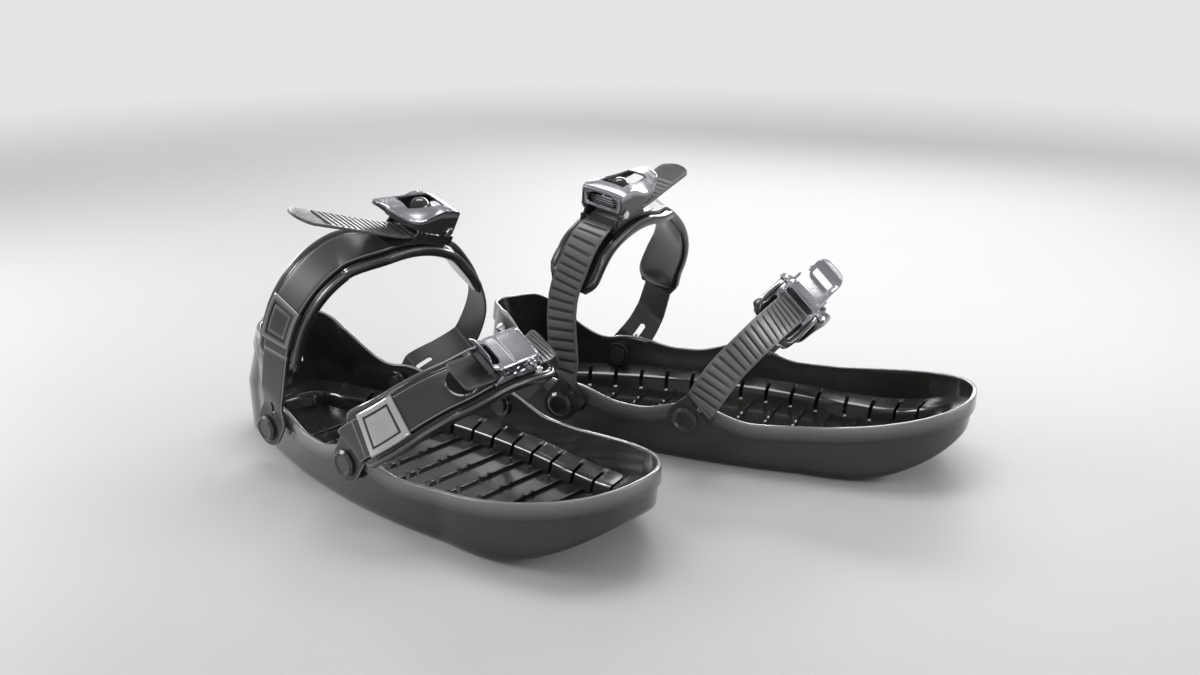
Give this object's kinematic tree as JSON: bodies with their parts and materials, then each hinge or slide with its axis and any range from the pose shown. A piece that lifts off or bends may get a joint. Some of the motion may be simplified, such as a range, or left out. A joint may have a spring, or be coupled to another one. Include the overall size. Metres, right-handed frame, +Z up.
{
  "type": "pair of mini skis with ratchet strap bindings",
  "caption": "Pair of short black moulded mini skis; each tray takes a shoe and is held by a ratchet ankle strap and a ratchet toe strap.",
  "frame": {"origin": "middle of the footprint of the pair, on the surface they stand on", "axes": "+X forward, halfway between the directions of the two toes; +Y to the wearer's left; +Z up"},
  "size_m": [0.5018, 0.3662, 0.2026],
  "materials": {
    "tray": "glossy moulded",
    "rivet": "satin",
    "base_strap": "satin moulded",
    "pad": "semi-gloss moulded",
    "keeper": "semi-gloss",
    "ladder_strap": "satin moulded",
    "buckle_base": "black satin",
    "buckle_lever": "smoked polished",
    "release_lever": "black gloss",
    "drive_pawl": "plain",
    "lever_pin": "polished",
    "release_pin": "plain",
    "release_spring": "plain wire",
    "buckle_screw": "plain"
  },
  "bodies": {
    "skis": {"left_ankle_rivet_lateral": "rivet", "left_ankle_rivet_medial": "rivet", "left_toe_rivet_lateral": "rivet", "left_toe_rivet_medial": "rivet", "left_tray": "tray", "right_ankle_rivet_lateral": "rivet", "right_ankle_rivet_medial": "rivet", "right_toe_rivet_lateral": "rivet", "right_toe_rivet_medial": "rivet", "right_tray": "tray"},
    "right_ankle_strap": {"right_ankle_base_strap": "base_strap", "right_ankle_pad": "pad", "right_ankle_keeper": "keeper", "right_ankle_buckle_base": "buckle_base", "right_ankle_buckle_screw": "buckle_screw", "right_ankle_lever_pin": "lever_pin", "right_ankle_release_pin": "release_pin", "right_ankle_release_spring": "release_spring"},
    "right_ankle_ladder": {"right_ankle_ladder_strap": "ladder_strap"},
    "right_ankle_lever": {"right_ankle_buckle_lever": "buckle_lever"},
    "right_ankle_pawl": {"right_ankle_drive_pawl": "drive_pawl"},
    "right_ankle_release": {"right_ankle_release_lever": "release_lever"},
    "right_toe_strap": {"right_toe_base_strap": "base_strap", "right_toe_pad": "pad", "right_toe_keeper": "keeper", "right_toe_buckle_base": "buckle_base", "right_toe_buckle_screw": "buckle_screw", "right_toe_lever_pin": "lever_pin", "right_toe_release_pin": "release_pin", "right_toe_release_spring": "release_spring"},
    "right_toe_ladder": {"right_toe_ladder_strap": "ladder_strap"},
    "right_toe_lever": {"right_toe_buckle_lever": "buckle_lever"},
    "right_toe_pawl": {"right_toe_drive_pawl": "drive_pawl"},
    "right_toe_release": {"right_toe_release_lever": "release_lever"},
    "left_ankle_strap": {"left_ankle_base_strap": "base_strap", "left_ankle_pad": "pad", "left_ankle_keeper": "keeper", "left_ankle_buckle_base": "buckle_base", "left_ankle_buckle_screw": "buckle_screw", "left_ankle_lever_pin": "lever_pin", "left_ankle_release_pin": "release_pin", "left_ankle_release_spring": "release_spring"},
    "left_ankle_ladder": {"left_ankle_ladder_strap": "ladder_strap"},
    "left_ankle_lever": {"left_ankle_buckle_lever": "buckle_lever"},
    "left_ankle_pawl": {"left_ankle_drive_pawl": "drive_pawl"},
    "left_ankle_release": {"left_ankle_release_lever": "release_lever"},
    "left_toe_strap": {"left_toe_base_strap": "base_strap", "left_toe_pad": "pad", "left_toe_keeper": "keeper", "left_toe_buckle_base": "buckle_base", "left_toe_buckle_screw": "buckle_screw", "left_toe_lever_pin": "lever_pin", "left_toe_release_pin": "release_pin", "left_toe_release_spring": "release_spring"},
    "left_toe_ladder": {"left_toe_ladder_strap": "ladder_strap"},
    "left_toe_lever": {"left_toe_buckle_lever": "buckle_lever"},
    "left_toe_pawl": {"left_toe_drive_pawl": "drive_pawl"},
    "left_toe_release": {"left_toe_release_lever": "release_lever"}
  },
  "joints": [
    {"name": "right_ankle_strap_swing", "type": "hinge", "parent": "skis", "child": "right_ankle_strap", "pos_m": [-0.16646, -0.07346, 0.0285], "axis": [0.1743, 0.9847, 0], "range_deg": [-48.8, 11.2]},
    {"name": "right_ankle_ladder_swing", "type": "hinge", "parent": "skis", "child": "right_ankle_ladder", "pos_m": [-0.16646, -0.07346, 0.0285], "axis": [0.1743, 0.9847, 0], "range_deg": [-48.8, 11.2]},
    {"name": "right_ankle_lever_hinge", "type": "hinge", "parent": "right_ankle_strap", "child": "right_ankle_lever", "pos_m": [-0.09539, -0.04563, 0.17171], "axis": [-0.9452, 0.1485, 0.2908], "range_deg": [0, 42]},
    {"name": "right_ankle_drive_pawl_hinge", "type": "hinge", "parent": "right_ankle_lever", "child": "right_ankle_pawl", "pos_m": [-0.09639, -0.05819, 0.17488], "axis": [-0.9452, 0.1485, 0.2908], "range_deg": [0, 12], "stiffness_Nm_per_rad": 0.004, "springref_deg": -11.46},
    {"name": "right_ankle_release_hinge", "type": "hinge", "parent": "right_ankle_strap", "child": "right_ankle_release", "pos_m": [-0.09821, -0.06947, 0.17469], "axis": [0.9452, -0.1485, -0.2908], "range_deg": [0, 14], "stiffness_Nm_per_rad": 0.02, "springref_deg": -17.19},
    {"name": "right_toe_strap_swing", "type": "hinge", "parent": "skis", "child": "right_toe_strap", "pos_m": [-0.06701, -0.09107, 0.0345], "axis": [0.1743, 0.9847, 0], "range_deg": [-21, 21]},
    {"name": "right_toe_ladder_swing", "type": "hinge", "parent": "skis", "child": "right_toe_ladder", "pos_m": [-0.06701, -0.09107, 0.0345], "axis": [0.1743, 0.9847, 0], "range_deg": [-21, 21]},
    {"name": "right_toe_lever_hinge", "type": "hinge", "parent": "right_toe_strap", "child": "right_toe_lever", "pos_m": [0.01243, -0.09338, 0.11105], "axis": [-0.8311, 0.1138, 0.5443], "range_deg": [0, 55]},
    {"name": "right_toe_drive_pawl_hinge", "type": "hinge", "parent": "right_toe_lever", "child": "right_toe_pawl", "pos_m": [0.01088, -0.1063, 0.11138], "axis": [-0.8311, 0.1138, 0.5443], "range_deg": [0, 12], "stiffness_Nm_per_rad": 0.004, "springref_deg": -11.46},
    {"name": "right_toe_release_hinge", "type": "hinge", "parent": "right_toe_strap", "child": "right_toe_release", "pos_m": [0.00855, -0.11705, 0.11008], "axis": [0.8311, -0.1138, -0.5443], "range_deg": [0, 14], "stiffness_Nm_per_rad": 0.02, "springref_deg": -17.19},
    {"name": "left_ankle_strap_swing", "type": "hinge", "parent": "skis", "child": "left_ankle_strap", "pos_m": [-0.03846, 0.07687, 0.0285], "axis": [-0.1743, 0.9847, 0], "range_deg": [-19, 5.5]},
    {"name": "left_ankle_ladder_swing", "type": "hinge", "parent": "skis", "child": "left_ankle_ladder", "pos_m": [-0.03846, 0.07687, 0.0285], "axis": [-0.1743, 0.9847, 0], "range_deg": [-19, 5.5]},
    {"name": "left_ankle_lever_hinge", "type": "hinge", "parent": "left_ankle_strap", "child": "left_ankle_lever", "pos_m": [0.00118, 0.02956, 0.17837], "axis": [0.9873, -0.0073, -0.159], "range_deg": [0, 42]},
    {"name": "left_ankle_drive_pawl_hinge", "type": "hinge", "parent": "left_ankle_lever", "child": "left_ankle_pawl", "pos_m": [0.00162, 0.04237, 0.18049], "axis": [0.9873, -0.0073, -0.159], "range_deg": [0, 12], "stiffness_Nm_per_rad": 0.004, "springref_deg": -11.46},
    {"name": "left_ankle_release_hinge", "type": "hinge", "parent": "left_ankle_strap", "child": "left_ankle_release", "pos_m": [0.00151, 0.05374, 0.17927], "axis": [-0.9873, 0.0073, 0.159], "range_deg": [0, 14], "stiffness_Nm_per_rad": 0.02, "springref_deg": -17.19},
    {"name": "left_toe_strap_swing", "type": "hinge", "parent": "skis", "child": "left_toe_strap", "pos_m": [0.06099, 0.09448, 0.0345], "axis": [-0.1743, 0.9847, 0], "range_deg": [-38.9, 3.1]},
    {"name": "left_toe_ladder_swing", "type": "hinge", "parent": "skis", "child": "left_toe_ladder", "pos_m": [0.06099, 0.09448, 0.0345], "axis": [-0.1743, 0.9847, 0], "range_deg": [-38.9, 3.1]},
    {"name": "left_toe_lever_hinge", "type": "hinge", "parent": "left_toe_strap", "child": "left_toe_lever", "pos_m": [0.13143, 0.08714, 0.11737], "axis": [0.7011, 0.1069, -0.705], "range_deg": [0, 55]},
    {"name": "left_toe_drive_pawl_hinge", "type": "hinge", "parent": "left_toe_lever", "child": "left_toe_pawl", "pos_m": [0.12999, 0.10007, 0.11791], "axis": [0.7011, 0.1069, -0.705], "range_deg": [0, 12], "stiffness_Nm_per_rad": 0.004, "springref_deg": -11.46},
    {"name": "left_toe_release_hinge", "type": "hinge", "parent": "left_toe_strap", "child": "left_toe_release", "pos_m": [0.12746, 0.11082, 0.11702], "axis": [-0.7011, -0.1069, 0.705], "range_deg": [0, 14], "stiffness_Nm_per_rad": 0.02, "springref_deg": -17.19}
  ],
  "couplings": [
    {"joint": "right_ankle_ladder_swing", "follows": "right_ankle_strap_swing", "ratio": 1},
    {"joint": "right_toe_ladder_swing", "follows": "right_toe_strap_swing", "ratio": 1},
    {"joint": "left_ankle_ladder_swing", "follows": "left_ankle_strap_swing", "ratio": 1},
    {"joint": "left_toe_ladder_swing", "follows": "left_toe_strap_swing", "ratio": 1}
  ]
}
